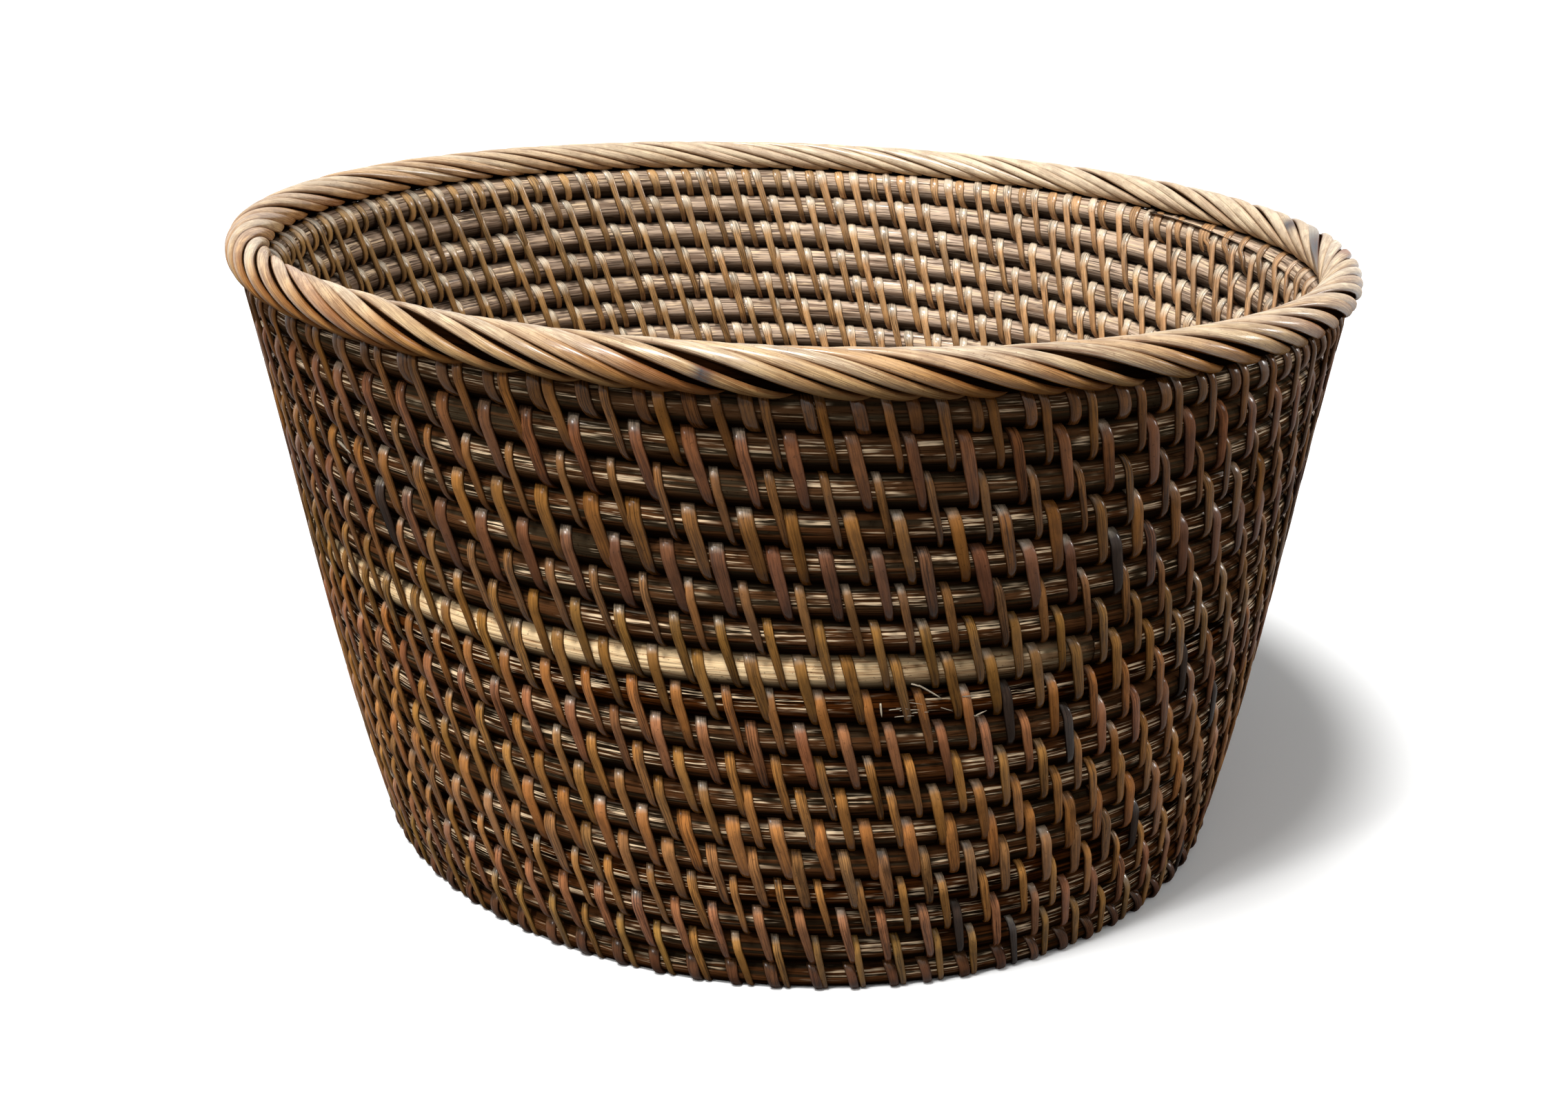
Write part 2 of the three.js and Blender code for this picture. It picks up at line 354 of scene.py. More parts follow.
def tube_mesh(name, rings, rows, ring=False):
    """A mesh over like tubes. The axes of rings are tube, step along it, side round it and XYZ.

    The tubes' skins lie in rows on the map for baking. Open tubes have flat ends.
    """
    tubes, steps, sides, _ = rings.shape
    corner = np.arange(tubes * steps * sides).reshape(tubes, steps, sides)
    here, ahead = (corner, np.roll(corner, -1, axis=1)) if ring else (corner[:, :-1], corner[:, 1:])
    skin = np.stack([here, np.roll(here, -1, 2), np.roll(ahead, -1, 2), ahead], axis=-1)

    spans = here.shape[1]
    row_length = math.ceil(tubes / rows) * spans if tubes > 1 else math.ceil(spans / rows)
    along = np.arange(tubes * spans).reshape(tubes, spans, 1) + np.zeros(sides)
    row, place = np.divmod(along, row_length)
    side = np.arange(sides) + np.zeros_like(along)
    u = np.stack([place, place, place + 1, place + 1], axis=-1) / row_length
    v = np.stack([side, side + 1, side + 1, side], axis=-1) / sides
    margin = 0.05
    v = (row[..., None] + margin + (1 - 2 * margin) * v) / (row.max() + 1)
    faces, uv = skin.reshape(-1, 4), np.stack([u, v], axis=-1).reshape(-1, 4, 2)

    if not ring:
        for end, order in ((corner[:, 0], 1), (corner[:, -1], -1)):
            for i in range(sides // 2 - 1):
                lid = end[:, [i, sides - 1 - i, sides - 2 - i, i + 1]][:, ::order]
                faces = np.concatenate([faces, lid])
                uv = np.concatenate([uv, np.zeros((tubes, 4, 2))])

    points = rings.reshape(-1, 3)
    a, b, c = (points[faces[:, i]] for i in range(3))
    if np.einsum("ij,ij->", a, np.cross(b, c)) < 0:
        faces, uv = faces[:, ::-1], uv[:, ::-1]
    mesh = bpy.data.meshes.new(name)
    mesh.from_pydata(points.tolist(), [], faces.tolist())
    mesh.uv_layers.new(name=BAKE_MAP).data.foreach_set("uv", uv.astype(np.float32).ravel())
    mesh.shade_smooth()
    return mesh


# How values that aren't plain numbers are kept with a mesh.
PAINT_KINDS = {"grain": ("FLOAT_VECTOR", "vector"), "tone": ("FLOAT_COLOR", "color")}


def paint(mesh, **layers):
    """Keeps values with a mesh's points, for its material to read."""
    for name, values in layers.items():
        kind, key = PAINT_KINDS.get(name, ("FLOAT", "value"))
        layer = mesh.attributes.new(name, kind, "POINT")
        layer.data.foreach_set(key, np.ascontiguousarray(values, np.float32).ravel())


def add_object(name, data):
    thing = bpy.data.objects.new(name, data)
    bpy.context.scene.collection.objects.link(thing)
    return thing


def add_piece(mesh, material, replaced=()):
    """Puts a mesh in the scene as a piece of the basket."""
    piece = add_object(mesh.name, mesh)
    mesh.materials.append(material)
    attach(piece, BODY)
    if replaced:
        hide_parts(*replaced)


# Rods: the length of a step along them, their sides, and the rows of their skin on the map for baking.
ROD_STEP = 0.003
ROD_SIDES = 16
ROD_ROWS = 7
# Points that measure a rod's length.
ROD_SAMPLES = 400
# Unevenness of a rod as a share of its thickness, and the number, least and most length of its waves.
ROD_LUMPS = 0.012
ROD_WAVES = (5, 0.02, 0.12)
# The rods start to be pressed as in the wall this share of a turn before the foot.
PRESS_CHANGE = 0.5
# Share of the press that helps to meet a neighbour, and how much of the room that is left a rod fills.
PRESS_MEETS = 0.8
GAP_FILL = 1.25
# A distance too small to matter, which keeps a division from failing.
TINY = 1e-9
# How far round a rod its painted light on the inside reaches, how much painted shade takes of it at the
# left, and its gloss.
INSIDE_REACH = 0.25
INSIDE_LEFT_SHADE = 0.5
INSIDE_GLOSS = 0.12
# Painted shade on a rod of the wall by height on its section, from its lowest point at -1 to its highest at
# 1:
# darkest in the gaps between the rods and over the lower half, where the light from above doesn't reach.
GROOVE_SHADE_OUTSIDE = ((-1, 1), (-0.6, 0.88), (-0.15, 0.66), (0.2, 0.4), (0.7, 0.7), (1, 1))
GROOVE_SHADE_INSIDE = ((-1, 1), (-0.5, 0.92), (0, 0.76), (0.35, 0.45), (0.9, 0.55), (1, 1))
# Paleness of the light rod by its angle in degrees: cream across the front, and golden past it.
CREAM = ((205, 0), (217, 1), (272, 1), (286, 0))
GOLDEN = ((200, 0), (220, 0.45), (283, 0.45), (303, 0))


def pale_length(coil, turns):
    """How pale the light rod is. Past the front and in other rows it is stained."""
    angle = np.degrees(coil.angle(turns)) % 360
    in_row = coil.place(turns)[1] > coil.place(np.round(turns.mean()))[1] - coil.rod
    return np.where(in_row, np.maximum(curve(CREAM, angle), curve(GOLDEN, angle)), 0)


def rod_mesh(coil, name, from_turn, to_turn, tint, rng):
    """A round rod along the coil, a little oval where its neighbours press on it.

    The tint is how pale the rod is all along. The light rod has none, as its paleness changes.
    """
    trim = coil.sizes.splice_gap / 2
    whole = distances(coil.points(np.linspace(from_turn, to_turn, ROD_SAMPLES)))[-1]
    share = np.linspace(trim / whole, 1 - trim / whole, math.ceil(whole / ROD_STEP) + 1)
    turns = from_turn + (to_turn - from_turn) * share
    radius, height, middle = (value[:, None] for value in coil.place(turns))
    along = distances(coil.points(turns))[:, None]
    angle = coil.angle(turns)[:, None]
    around = np.linspace(0, 2 * math.pi, ROD_SIDES, endpoint=False)

    # In the base the neighbours press from the sides, in the wall from above and below.
    press = coil.sizes.rod_press
    in_wall = np.clip(turns - coil.base_turns + PRESS_CHANGE, 0, 1)[:, None]
    lump = 1 + ROD_LUMPS * wander(along, rng, *ROD_WAVES)
    out = (coil.rod + press * (1 - in_wall)) * lump * np.cos(around)
    up = (coil.rod + press * in_wall) * lump * np.sin(around)
    # Where the base turns into the wall the turns lie wider apart, and the rods are fuller to meet.
    for turn in (-1, 1):
        near_radius, near_height, _ = (value[:, None] for value in coil.place(turns + turn))
        apart = np.hypot(near_radius - radius, near_height - height) + TINY
        towards = (near_radius - radius) / apart, (near_height - height) / apart
        facing = np.clip(towards[0] * np.cos(around) + towards[1] * np.sin(around), 0, 1) ** 2
        fuller = GAP_FILL * np.maximum(apart / 2 - coil.rod - PRESS_MEETS * press, 0) * facing
        out = out + fuller * towards[0]
        up = up + fuller * towards[1]
    # The top turn tapers out over the rod that rises under it.
    floor = np.where(turns >= coil.last_turn, coil.place(turns - 1)[1] + coil.rod + press, 0)
    z = np.maximum(height + up, np.maximum(floor, coil.sizes.foot_flat)[:, None])
    mesh = tube_mesh(name, polar(radius + out, angle, z, middle)[None], ROD_ROWS)

    lengthwise = along / MM + rng.uniform(0, GRAIN_START)
    # Painted light: the inside is paler, as light falls into the basket, and painted shade makes it less so
    # at the left.
    inside = np.clip(np.sin(around) * (1 - in_wall) - np.cos(around) * in_wall + INSIDE_REACH, 0, 1)
    inside = inside * (1 - INSIDE_LEFT_SHADE * np.clip(-np.cos(angle), 0, 1) * in_wall)
    # Painted shade gathers between the rods and on their lower halves, and in the base at the sides where
    # the turns meet.
    outer, inner = (curve(stain, np.sin(around)) for stain in (GROOVE_SHADE_OUTSIDE, GROOVE_SHADE_INSIDE))
    stain = np.where(np.cos(around) < 0, inner, outer)
    paint(
        mesh,
        grain=stacked(lengthwise, out / MM, up / MM),
        pale=np.broadcast_to(pale_length(coil, turns)[:, None] if tint is None else tint, out.shape),
        inside=inside,
        groove=np.abs(np.cos(around)) * (1 - in_wall) + stain * in_wall,
        gloss=INSIDE_GLOSS * inside,
    )
    return mesh


def strip_rings(path, normal, width, height, section):
    """Sections of strips along paths. A section's points are shares of the width and of the height."""
    forward = unit(np.gradient(path, axis=1))
    across = unit(np.cross(forward, normal))
    normal = np.cross(across, forward)
    side, rise = np.array(section).T
    return (
        path[:, :, None]
        + across[:, :, None] * (width[..., None] * side)[..., None]
        + normal[:, :, None] * (height[..., None] * rise)[..., None]
    )


def strip_grain(path, section, width, rng):
    """Coordinates in millimetres along and across each strip, each strip on its own stretch of grain."""
    gaps = np.linalg.norm(np.diff(path, axis=1), axis=-1)
    along = np.concatenate([np.zeros((len(path), 1)), np.cumsum(gaps, axis=1)], axis=1) / MM
    start = rng.uniform(0, GRAIN_START, (len(path), 1))
    side, rise = np.array(section).T
    return stacked((along + start)[..., None], width[..., None] / MM * side, rise)


# Half of a split cane: flat on the rod and round outside. The rim's strands are flatter.
STRIP_SECTION = (
    (-0.5, 0), (-0.5, 0.5), (-0.4, 0.84), (-0.15, 1), (0.15, 1), (0.4, 0.84), (0.5, 0.5), (0.5, 0),
)
STRAND_SECTION = (
    (-0.5, 0), (-0.5, 0.5), (-0.37, 0.84), (-0.14, 1), (0.14, 1), (0.37, 0.84), (0.5, 0.5), (0.5, 0),
)
FIBRE_SECTION = ((-0.5, 0), (-0.3, 1), (0.3, 1), (0.5, 0))

# Degrees from one point of a stitch's bend to the next.
BEND_STEP = 18
# Shares of a stitch's length at which it comes out of the gaps between the rods and goes into them.
GAP_SHARES = (0, 0.06, 0.44, 0.56, 0.94, 1)
# Share of the rods' press by which the stitches follow them.
PRESS_LIFT = 0.6
# Where round the basket the front of a row ends, as the least and most cosine of its angle to the front.
FRONT_END = (-0.6, 0.1)
# Painted shade under the rim, as the share of light left, from the rim at 0 to the foot at 1.
UNDER_RIM_SHADE = ((0, 0.66), (1, 1.26))
# Share of the strips that are sooty, and the width of a row that isn't seen in front.
SOOTY_SHARE = 0.01
BACK_WIDTH = 0.95
# Unevenness of the stitches: the least and the most of each.
STITCH_TONE = (0.8, 1.16)
STITCH_TINT = (0.96, 1.04)
STITCH_WIDTH = (0.88, 1.12)
STITCH_SHIFT = (-0.09, 0.09)
STITCH_SPACING = (0.88, 1.12)
STITCH_STREAKS = (0.2, 0.75)
STITCH_GLOSS = (0.08, 0.3)
# Along a stitch, from its lower end at -0.5 to its knuckle at 1.5: its width outside and inside, its painted
# shade, darker where it goes into the gap below and lighter at the knuckle, how much its tip outside and its
# bead inside are rubbed pale and painted as a highlight, and the gloss of the tip.
OUTER_WIDTH = ((-0.5, 0.6), (0.1, 0.86), (0.8, 1), (1.3, 1), (1.5, 0.85))
INNER_WIDTH = ((-0.5, 0.75), (0.3, 0.9), (0.95, 0.95), (1.25, 1.35), (1.5, 1.2))
STITCH_SHADE = ((-0.5, 0.45), (0.3, 0.85), (1.2, 1.1))
TIP_RUBBED_GLINT = ((1.3, 0), (1.42, 0.7))
BEAD_RUBBED_GLINT = ((1.02, 0), (1.28, 0.95))
TIP_GLOSS = ((1.1, 0), (1.3, 0.75))
BEAD_GLOSS = 0.8
# Painted shade on the stitches of the base, which lie low by the floor.
BASE_SHADE = 0.36
# Inside, painted light: how far round the paler side reaches, how much it has of a strip's own tone and of
# the pale one, its unevenness, and how much painted light it gains in red, green and blue at the right and
# painted shade takes at the left.
INWARD_REACH = 0.2
OWN_TONE = 0.4
PALE_TONE = 0.7
INSIDE_TONE = (0.75, 1.1)
SIDE_LIGHT_TINT = (0.2, 0.2, 0.36)
# How many times as long as wide a stitch's place on the map for baking is.
MAP_STRETCH = 2.4


def loop_outline():
    """One stitch round two turns: how near the outer turn each point is, and the angle of its normal.

    It starts between the rods past the outer turn, runs down the outside and comes up the inside.
    """
    top = [(1, angle) for angle in range(0, 90, BEND_STEP)]
    outside = [(share, 90) for share in (1, 2 / 3, 1 / 3)]
    bottom = [(0, angle) for angle in range(90, 270, BEND_STEP)]
    inside = [(share, 270) for share in (0, 1 / 3, 2 / 3)]
    back = [(1, angle) for angle in range(270, 361, BEND_STEP)]
    nearness, angles = np.array(top + outside + bottom + inside + back, float).T
    return nearness, np.radians(angles)


def lacing(coil, turns, spacing, outline, advance):
    """Paths and normals of stitches round the rods at these turns and one turn before.

    The outline gives each point's nearness to the outer turn and the angle of its normal, and advance
    how far along the coil it lies, in stitches.
    """
    nearness, angles = outline
    at = turns[:, None] + spacing[:, None] * advance
    outer = np.stack(coil.place(at)[:2], axis=-1)
    inner = np.stack(coil.place(at - 1)[:2], axis=-1)
    rise = unit(outer - inner)
    outwards = np.stack([rise[..., 1], -rise[..., 0]], axis=-1)
    normal = rise * np.cos(angles)[:, None] + outwards * np.sin(angles)[:, None]
    place = inner + (outer - inner) * nearness[:, None] + normal * coil.rod
    place += rise * (PRESS_LIFT * coil.sizes.rod_press * np.cos(angles))[:, None]
    middle = coil.sizes.foot_offset * (1 - place[..., 1] / coil.rim_height)
    angle = coil.angle(at)
    path = polar(place[..., 0], angle, place[..., 1], middle)
    return path, polar(normal[..., 0], angle, normal[..., 1])


def loop_advance(coil, outline, sizes):
    """How far along the coil each point of a stitch lies, in stitches.

    It slants less outside than inside, and most where it passes between two rods.
    """
    nearness, angles = outline
    across = coil.rod * np.sin(angles)
    flat = np.stack([across, nearness * coil.wall_pitch + coil.rod * np.cos(angles)], axis=-1)
    share = distances(flat) / distances(flat)[-1]
    hidden = (1 - sizes.outside_slant - sizes.inside_slant) / 4
    bottom = hidden + sizes.outside_slant
    return np.interp(share, GAP_SHARES, (0, hidden, bottom, bottom + 2 * hidden, 1 - hidden, 1))


def row_of(coil, turns):
    """The row of lacing at these turns, counted from the rim down. It changes where the wall steps."""
    return (coil.last_turn + 1 - np.floor(turns + 1 - WALL_STEP_START - STEP_SHARE / 2)).astype(int)


def stitch_looks(coil, turns, rows, rng):
    """Colour and relative width of each stitch. A strip keeps its tone over many stitches."""
    tones = np.array([tone(name) for name in TONES])
    back_tone = rng.integers(0, len(TONES), rows.max() + 1)
    front = np.cos(coil.angle(turns) + math.pi / 2) > rng.uniform(*FRONT_END, rows.max() + 1)[rows]
    front_tone = np.array([TONES.index(name) for name, _ in FRONT_ROWS])
    row_width = np.array([width for _, width in FRONT_ROWS])
    known = np.minimum(rows, len(FRONT_ROWS) - 1)
    shown = front & (rows < len(FRONT_ROWS))
    look = tones[np.where(shown, front_tone[known], back_tone[rows])]
    look = look * rng.uniform(*STITCH_TONE, (len(turns), 1)) * rng.uniform(*STITCH_TINT, (len(turns), 3))
    # Painted shade: the rows under the rim are darker, those near the foot lighter.
    look *= curve(UNDER_RIM_SHADE, rows / len(FRONT_ROWS))[:, None] ** np.array(SHADE_POWER)
    look[rng.random(len(turns)) < SOOTY_SHARE] = tone("sooty")
    width = np.where(shown, row_width[known], BACK_WIDTH) * rng.uniform(*STITCH_WIDTH, len(turns))
    return look, width


def lacing_mesh(coil, name, turns, rows, spacing, outline, advance, rng):
    """Stitches of lacing. Outside a stitch narrows to its lower end, inside it bulges at its knuckle."""
    sizes = settings().lacing
    look, width = stitch_looks(coil, turns, rows, rng)
    turns = turns + spacing * rng.uniform(*STITCH_SHIFT, len(turns))
    path, normal = lacing(coil, turns, spacing * rng.uniform(*STITCH_SPACING, len(turns)), outline, advance)
    rise = outline[0] + np.cos(outline[1]) / 2
    outside = (1 + np.sin(outline[1])) / 2
    shape = curve(OUTER_WIDTH, rise) * outside + curve(INNER_WIDTH, rise) * (1 - outside)
    width = (width * sizes.strip_width)[:, None] * shape
    height = np.full(path.shape[:2], sizes.strip_thickness)
    rings = strip_rings(path, normal, width, height, STRIP_SECTION)
    # Under the base the strips are pressed flat, between the rods and the floor.
    lift = coil.sizes.foot_flat * (1 - np.array(STRIP_SECTION)[:, 1])
    rings[..., 2] = np.maximum(rings[..., 2], lift)
    mesh = tube_mesh(name, rings, rows=math.ceil(math.sqrt(len(turns) * MAP_STRETCH)))
    paint(mesh, grain=strip_grain(path, STRIP_SECTION, width, rng))
    paint_stitches(coil, mesh, turns, rows, look, rise[:, None], -np.sin(outline[1])[:, None], rng)
    return mesh


def paint_stitches(coil, mesh, turns, rows, look, rise, inward, rng):
    """Colours of stitches, with painted light on the inside of the basket, painted shade towards their lower
    ends, knuckles rubbed pale and painted as highlights, and gloss.
    """
    climb = (coil.place(turns)[1] - coil.place(turns - 1)[1]) / coil.wall_pitch
    in_wall = np.clip(np.maximum(climb, turns - coil.last_turn), 0, 1)[:, None, None]
    inside = in_wall * np.clip(INWARD_REACH + inward, 0, 1) + (1 - in_wall) * np.clip(2 * inward - 1, 0, 1)
    # Painted light: the inside is paler, more so at the right, and painted shade darkens it at the left.
    paler = OWN_TONE * look + PALE_TONE * tone("strip_inside")
    paler = paler * rng.uniform(*INSIDE_TONE, (len(look), 1))
    paler *= 1 + np.cos(coil.angle(turns))[:, None] * np.array(SIDE_LIGHT_TINT)
    # Painted shade: darker towards the lower end of each stitch, and in the base.
    shaded = in_wall * curve(STITCH_SHADE, rise) + (1 - in_wall) * BASE_SHADE
    looks = (look[:, None] * (1 - inside) + paler[:, None] * inside) * shaded ** np.array(STITCH_SHADE_POWER)
    # Where a stitch bends into the gap above, its knuckle is rubbed pale and painted as a highlight, most of
    # all inside.
    shine = rng.random((len(look), 1, 1)) ** 2
    rubbed_and_glint = shine * curve(TIP_RUBBED_GLINT, rise) * (1 - inside) + curve(BEAD_RUBBED_GLINT, rise) * inside
    rubbed_and_glint = rubbed_and_glint * in_wall * (rows > 0)[:, None, None]
    looks = looks + rubbed_and_glint * (tone("splinter") - looks)
    sides = len(STRIP_SECTION)
    paint_tone(mesh, looks, rng.uniform(*STITCH_STREAKS, len(look)), sides)
    gloss = rng.uniform(*STITCH_GLOSS, (len(look), 1, 1)) + shine * in_wall * curve(TIP_GLOSS, rise)
    gloss = gloss * (1 - inside) + BEAD_GLOSS * inside
    paint(mesh, gloss=np.repeat(gloss, sides, axis=2))


def paint_tone(mesh, looks, streaks, sides):
    """Gives each step of each strip its colour, and each strip the strength of its dark streaks."""
    strength = np.broadcast_to(streaks[:, None, None], (*looks.shape[:2], 1))
    looks = np.concatenate([np.clip(looks, 0, 1), strength], axis=-1)
    paint(mesh, tone=np.repeat(looks[:, :, None], sides, axis=2))


# Materials

VECTOR = "NodeSocketVector"
FLOAT = "NodeSocketFloat"
# The two colours and the result of a mixing node among its sockets.
MIX_INPUTS = (6, 7)
MIX_OUTPUT = 2
# Patches of stain change this many times faster across the grain than along it.
PATCH_SHAPE = (1.0, 2.5, 2.5)
# Roughness of the stained rods and of split cane where the fibres lie low and high, and depth of fibres.
ROD_ROUGHNESS = (0.36, 0.18)
CANE_ROUGHNESS = (0.45, 0.28)
ROD_DEPTH = 0.00013
CANE_DEPTH = 0.0001
# Roughness of the rods' lacquer, gloss of their bare fibres, and share of fine fibres in their relief.
ROD_COAT = 0.2
BARE_GLOSS = 0.5
FINE_RELIEF = 0.5
# Split cane: width of its fibres in millimetres, roughness and refraction of its lacquer, and the dark tone
# of its streaks and of the painted shade along its edges.
CANES = {"lacing_strip": (0.34, 0.22, 1.5, "rod_dark"), "rim_strand": (0.22, 0.26, 1.6, "amber")}


def new_node(tree, kind, values=None, **options):
    """A node of a kind, with its options and some of its inputs set."""
    node = tree.nodes.new(kind)
    for key, value in options.items():
        setattr(node, key, value)
    for key, value in (values or {}).items():
        node.inputs[key].default_value = value
    return node


def new_group(name, inputs, outputs):
    """An empty node group with named sockets, and its two end nodes."""
    tree = bpy.data.node_groups.new(name, "ShaderNodeTree")
    for side, sockets in (("INPUT", inputs), ("OUTPUT", outputs)):
        for socket, kind in sockets.items():
            tree.interface.new_socket(name=socket, in_out=side, socket_type=kind)
    return tree, tree.nodes.new("NodeGroupInput"), tree.nodes.new("NodeGroupOutput")


def shared(kept, name, build):
    """A material or a node group by its name, built when it is first asked for."""
    return kept.get(name) or build(name)


def use_group(tree, grain, name, build, values):
    """The outputs of a shared node group on the grain."""
    node = new_node(tree, "ShaderNodeGroup", values, node_tree=shared(bpy.data.node_groups, name, build))
    tree.links.new(grain, node.inputs["Coordinate"])
    return node.outputs


def connect(tree, source, socket):
    """Feeds an input from a node's output, or sets it to a fixed value."""
    if isinstance(source, bpy.types.NodeSocket):
        tree.links.new(source, socket)
    else:
        socket.default_value = source


def calculate(tree, operation, *sources, kind="ShaderNodeMath"):
    """An operation on outputs and fixed values."""
    node = new_node(tree, kind, operation=operation)
    for source, socket in zip(sources, node.inputs):
        connect(tree, source, socket)
    return node.outputs[0]


def attribute(tree, name, socket="Fac"):
    return new_node(tree, "ShaderNodeAttribute", attribute_name=name).outputs[socket]


def remap(tree, value, low, high, to_low=0.0, to_high=1.0):
    ends = {"From Min": low, "From Max": high, "To Min": to_low, "To Max": to_high}
    node = new_node(tree, "ShaderNodeMapRange", ends, interpolation_type="SMOOTHSTEP")
    tree.links.new(value, node.inputs["Value"])
    return node.outputs["Result"]


def blend_colours(tree, mask, low, high):
    """Mixes two colours, each an output or a fixed colour, by a mask."""
    node = new_node(tree, "ShaderNodeMix", data_type="RGBA")
    tree.links.new(mask, node.inputs["Factor"])
    for source, place in zip((low, high), MIX_INPUTS):
        fixed = not isinstance(source, bpy.types.NodeSocket)
        connect(tree, (*source, 1) if fixed else source, node.inputs[place])
    return node.outputs[MIX_OUTPUT]


def cover(tree, look, mask, ends, over, strength=1.0):
    """A look with a colour over it, from none at the mask's first end to its strength at the second."""
    return blend_colours(tree, remap(tree, mask, *ends, 0.0, strength), look, over)


def noise(tree, place, ends, scale, detail, roughness):
    """Noise eased from 0 at its first end to 1 at its second."""
    values = {"Scale": scale, "Detail": detail, "Roughness": roughness}
    node = new_node(tree, "ShaderNodeTexNoise", values)
    tree.links.new(place, node.inputs["Vector"])
    return remap(tree, node.outputs["Fac"], *ends)


def grain_group(name):
    """Long fibres. The coordinate is in millimetres, lengthwise along X."""
    tree, start, end = new_group(
        name,
        {"Coordinate": VECTOR, "Fibre length": FLOAT, "Fibre width": FLOAT},
        {"Fibre": FLOAT, "Ridge": FLOAT},
    )
    size = new_node(tree, "ShaderNodeCombineXYZ")
    for axis, source in zip("XYZ", ("Fibre length", "Fibre width", "Fibre width")):
        tree.links.new(start.outputs[source], size.inputs[axis])
    place = calculate(
        tree, "DIVIDE", start.outputs["Coordinate"], size.outputs["Vector"], kind="ShaderNodeVectorMath"
    )
    fine = noise(tree, place, (0.3, 0.7), scale=1.0, detail=3.0, roughness=0.65)
    broad = noise(tree, place, (0.32, 0.68), scale=0.4, detail=1.0, roughness=0.5)
    tree.links.new(fine, end.inputs["Fibre"])
    tree.links.new(broad, end.inputs["Ridge"])
    return tree


def stain_group(name):
    """Patches of stain and dirt, longer than wide, and small dark flecks."""
    tree, start, end = new_group(
        name, {"Coordinate": VECTOR, "Patch length": FLOAT}, {"Patch": FLOAT, "Fleck": FLOAT}
    )
    place = start.outputs["Coordinate"]
    wide = calculate(tree, "MULTIPLY", place, PATCH_SHAPE, kind="ShaderNodeVectorMath")
    wide = calculate(tree, "DIVIDE", wide, start.outputs["Patch length"], kind="ShaderNodeVectorMath")
    patch = noise(tree, wide, (0.38, 0.66), scale=1.0, detail=2.0, roughness=0.6)
    fleck = noise(tree, place, (0.6, 0.72), scale=1.1, detail=2.0, roughness=0.7)
    tree.links.new(patch, end.inputs["Patch"])
    tree.links.new(fleck, end.inputs["Fleck"])
    return tree


def start_material(name, fibre_length, fibre_width, patch_length):
    """A new material, its tree and shader, the coordinate along its grain, and its fibres and stains."""
    material = bpy.data.materials.new(name)
    material.use_nodes = True
    tree = material.node_tree
    grain = attribute(tree, "grain", "Vector")
    fibre_size = {"Fibre length": fibre_length, "Fibre width": fibre_width}
    fibre = use_group(tree, grain, "rattan_grain", grain_group, fibre_size)
    stain = use_group(tree, grain, "rattan_stain", stain_group, {"Patch length": patch_length})
    return material, tree, tree.nodes["Principled BSDF"], grain, fibre, stain


def finish_material(tree, shader, look, roughness, gloss, coat_roughness, height, depth):
    """Colour, relief, and a lacquer as strong as the gloss says, on rattan that is dull itself."""
    tree.links.new(look, shader.inputs["Base Color"])
    tree.links.new(roughness, shader.inputs["Roughness"])
    shader.inputs["Specular IOR Level"].default_value = 0.0
    shader.inputs["Coat Roughness"].default_value = coat_roughness
    tree.links.new(gloss, shader.inputs["Coat Weight"])
    bump = new_node(tree, "ShaderNodeBump", {"Strength": 1.0, "Distance": depth})
    tree.links.new(height, bump.inputs["Height"])
    tree.links.new(bump.outputs["Normal"], shader.inputs["Normal"])


def stained_rod(name):
    """Dark stained rods with ridges of fibre, and one length that stayed pale, with painted shade between
    the rods, painted highlights on bare fibres and painted light inside.
    """
    colours = settings().colours
    material, tree, shader, _, fibre, stain = start_material(
        name, fibre_length=16.0, fibre_width=0.45, patch_length=16.0
    )
    groove = attribute(tree, "groove")
    look = cover(tree, colours.rod_dark, fibre["Ridge"], (0.1, 0.8), colours.rod_mid)
    # Painted light: paler towards the inside of the basket.
    inner = cover(tree, colours.rod_mid, fibre["Ridge"], (-0.4, 0.7), colours.rod_inside)
    look = blend_colours(tree, attribute(tree, "inside"), look, inner)
    look = cover(tree, look, fibre["Fibre"], (0.4, 0.05), colours.rod_dark, strength=0.8)
    # Proud fibres are rubbed bare and painted as highlights, away from the patches of stain and kept off the
    # painted shade, on the lit upper band of each rod.
    bare_glint = remap(tree, fibre["Fibre"], 0.58, 0.86)
    bare_glint = calculate(tree, "MULTIPLY", bare_glint, remap(tree, stain["Patch"], 0.75, 0.2))
    bare_glint = calculate(tree, "MULTIPLY", bare_glint, remap(tree, groove, 0.74, 0.5))
    look = blend_colours(tree, bare_glint, look, colours.rod_scuffed)
    pale = cover(tree, colours.blush, fibre["Fibre"], (-0.2, 0.6), colours.rod_pale)
    pale = cover(tree, pale, fibre["Fibre"], (0.25, 0.0), colours.rod_mid, strength=0.7)
    pale = cover(tree, pale, stain["Fleck"], (0, 1), colours.rod_dark, strength=0.5)
    look = blend_colours(tree, attribute(tree, "pale"), look, pale)
    # Painted shade in the gaps between the rods and on their lower halves.
    look = cover(tree, look, groove, (0.62, 0.95), colours.rod_dark, strength=0.96)
    roughness = remap(tree, fibre["Fibre"], 0, 1, *ROD_ROUGHNESS)
    gloss = calculate(tree, "MULTIPLY_ADD", bare_glint, BARE_GLOSS, attribute(tree, "gloss"))
    height = calculate(tree, "MULTIPLY_ADD", fibre["Fibre"], FINE_RELIEF, fibre["Ridge"])
    finish_material(tree, shader, look, roughness, gloss, ROD_COAT, height, ROD_DEPTH)
    return material


